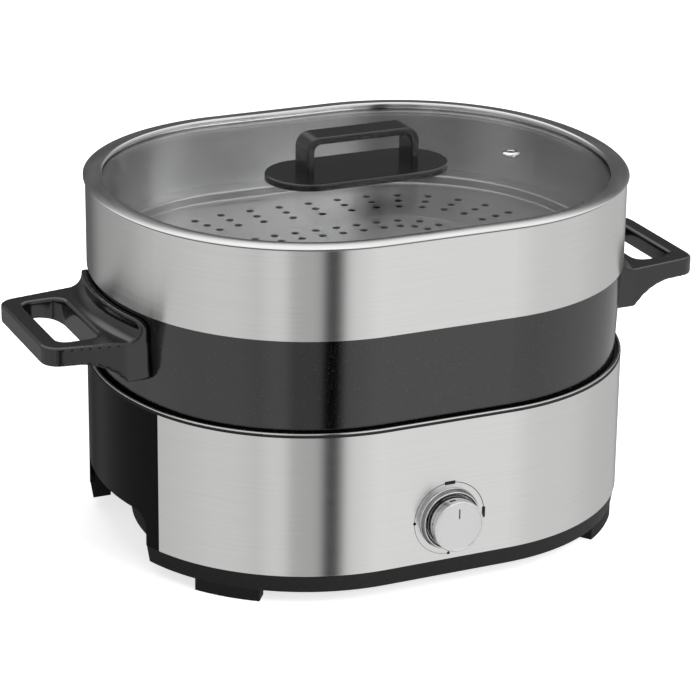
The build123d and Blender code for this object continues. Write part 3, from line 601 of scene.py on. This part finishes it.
# Studio: white surround, with light and dark cards round the object that only reflections see.
# Each card edge is (azimuth in degrees, brightness), the way round from behind the object.
studio = {
    "cards": [
        (-180, 0.74), (-166, 0.79), (-150, 0.78), (-139, 0.70), (-133, 0.83), (-124, 0.84), (-120, 0.52),
        (-104, 0.54), (-101, 0.0), (-94, 0.0), (-89, 0.84), (-78, 0.90), (-71, 1.0), (-60, 0.97), (-53, 0.86),
        (-45, 0.82), (-20, 0.80), (4, 0.68), (41, 0.56), (55, 0.12), (95, 0.12), (110, 0.4), (137, 0.50),
        (150, 0.66), (170, 0.72), (180, 0.74),
    ],
    # soft box above: the heights of the direction (its sine) where it fades in and where its middle dims,
    # and the brightness before and after the dimming
    "overhead": {"fade": (0.60, 0.80), "middle": (0.90, 0.97), "levels": (1.15, 1.05)},
    # card behind on the right that lights the lid rim's front: azimuths and heights where it fades in and out
    "rimCard": {"from": (30, 42), "to": (128, 112), "above": (0.42, 0.54), "level": 1.45},
    # even fill for dull surfaces, weaker from the left than from the right
    "fill": (0.08, 1.02),
    "floorSize": 12.0, "floorGlow": 0.72, "floorColour": "#F4F4F4", "floorRoughness": 0.9,
}


def setStudio():
    world = bpy.data.worlds.new("studio")
    bpy.context.scene.world = world
    world.use_nodes = True
    tree = world.node_tree
    tree.nodes.clear()
    direction = addNode(tree, "ShaderNodeTexCoord")
    axes = addNode(tree, "ShaderNodeSeparateXYZ", links={"Vector": (direction, "Generated")})
    angle = addNode(tree, "ShaderNodeMath", {"operation": "ARCTAN2"}, {0: (axes, "Y"), 1: (axes, "X")})
    share = addNode(tree, "ShaderNodeMapRange", links={"Value": (angle, 0)}, From_Min=-pi, From_Max=pi)
    ramp = addNode(tree, "ShaderNodeValToRGB", links={"Fac": (share, 0)})
    stops = ramp.color_ramp.elements
    while len(stops) < len(studio["cards"]):
        stops.new(1.0)
    for stop, (azimuth, level) in zip(stops, studio["cards"]):
        stop.position = (azimuth + 180) / 360
        stop.color = (level, level, level, 1)
    box = studio["overhead"]
    above = addNode(tree, "ShaderNodeMapRange", links={"Value": (axes, "Z")},
                    **dict(zip(rangeSockets, box["fade"])))
    middle = addNode(tree, "ShaderNodeMapRange", links={"Value": (axes, "Z")},
                     **dict(zip(rangeSockets, (*box["middle"], *box["levels"]))))
    around = addNode(tree, "ShaderNodeMixRGB",
                     links={"Fac": (above, 0), "Color1": (ramp, 0), "Color2": (middle, 0)})
    card = studio["rimCard"]
    limits = (
        ((angle, 0), map(radians, card["from"])), ((angle, 0), map(radians, card["to"])),
        ((axes, "Z"), card["above"]),
    )
    fades = [addNode(tree, "ShaderNodeMapRange", links={"Value": source}, **dict(zip(rangeSockets, span)))
             for source, span in limits]
    across = addNode(tree, "ShaderNodeMath", {"operation": "MULTIPLY"}, {0: (fades[0], 0), 1: (fades[1], 0)})
    mask = addNode(tree, "ShaderNodeMath", {"operation": "MULTIPLY"}, {0: (across, 0), 1: (fades[2], 0)})
    lit = addNode(tree, "ShaderNodeMixRGB", links={"Fac": (mask, 0), "Color1": (around, 0)},
                  Color2=[card["level"]] * 3 + [1.0])
    path = addNode(tree, "ShaderNodeLightPath")
    cards = addNode(tree, "ShaderNodeBackground", links={"Color": (lit, 0)})
    side = addNode(tree, "ShaderNodeMapRange", links={"Value": (axes, "X")},
                   **dict(zip(rangeSockets, (-1.0, 1.0, *studio["fill"]))))
    fill = addNode(tree, "ShaderNodeBackground", links={"Color": (side, 0)})
    white = addNode(tree, "ShaderNodeBackground", Color=(1, 1, 1, 1))
    # straight or through clear glass the surround is white, after a reflection it is the cards
    straight = addNode(tree, "ShaderNodeMath", {"operation": "MAXIMUM"},
                       {0: (path, "Is Camera Ray"), 1: (path, "Is Transmission Ray")})
    mirrored = addNode(tree, "ShaderNodeMath", {"operation": "GREATER_THAN"}, {0: (path, "Glossy Depth")})
    seen = addNode(tree, "ShaderNodeMath", {"operation": "GREATER_THAN"},
                   {0: (straight, 0), 1: (mirrored, 0)})
    shiny = addNode(tree, "ShaderNodeMixShader", links={"Fac": (mirrored, 0), 1: (fill, 0), 2: (cards, 0)})
    both = addNode(tree, "ShaderNodeMixShader", links={"Fac": (seen, 0), 1: (shiny, 0), 2: (white, 0)})
    addNode(tree, "ShaderNodeOutputWorld", links={"Surface": (both, 0)})


def setFloor():
    deselect()
    bpy.ops.mesh.primitive_plane_add(size=studio["floorSize"])
    floor = bpy.context.object
    floor.name = "floor"
    material, tree, shader = newMaterial("paleFloor")
    shader.inputs["Base Color"].default_value = hexLinear(studio["floorColour"])
    shader.inputs["Roughness"].default_value = studio["floorRoughness"]
    path = addNode(tree, "ShaderNodeLightPath")
    glow = addNode(tree, "ShaderNodeMath", {"operation": "MULTIPLY"}, {"Value": (path, "Is Camera Ray")})
    glow.inputs[1].default_value = studio["floorGlow"]
    shader.inputs["Emission Color"].default_value = (1, 1, 1, 1)
    tree.links.new(glow.outputs[0], shader.inputs["Emission Strength"])
    floor.data.materials.append(material)
    floor.visible_glossy = False


# Two soft boxes, in metres and watts, turned to the middle of the object
lampTarget = Vector((0, 0, 0.12))
lamps = {
    "topBox": {"place": (0.0, 0.0, 1.6), "size": 1.4, "watts": 8.0, "throughGlass": False},
    # large, so that steel under the lid mirrors it dimly
    "rightBox": {"place": (1.2, -1.5, 0.95), "size": 2.0, "watts": 20.0, "throughGlass": True},
}


def setLamps():
    for name, lamp in lamps.items():
        light = bpy.data.lights.new(name, "AREA")
        light.energy = lamp["watts"]
        light.size = lamp["size"]
        item = bpy.data.objects.new(name, light)
        item.location = lamp["place"]
        item.rotation_euler = (lampTarget - item.location).to_track_quat("-Z", "Y").to_euler()
        item.visible_glossy = False
        item.visible_transmission = lamp["throughGlass"]
        bpy.context.collection.objects.link(item)


setCamera()
setStudio()
setFloor()
setLamps()
bpy.context.scene.view_settings.view_transform = "Standard"
print("camera and studio set")
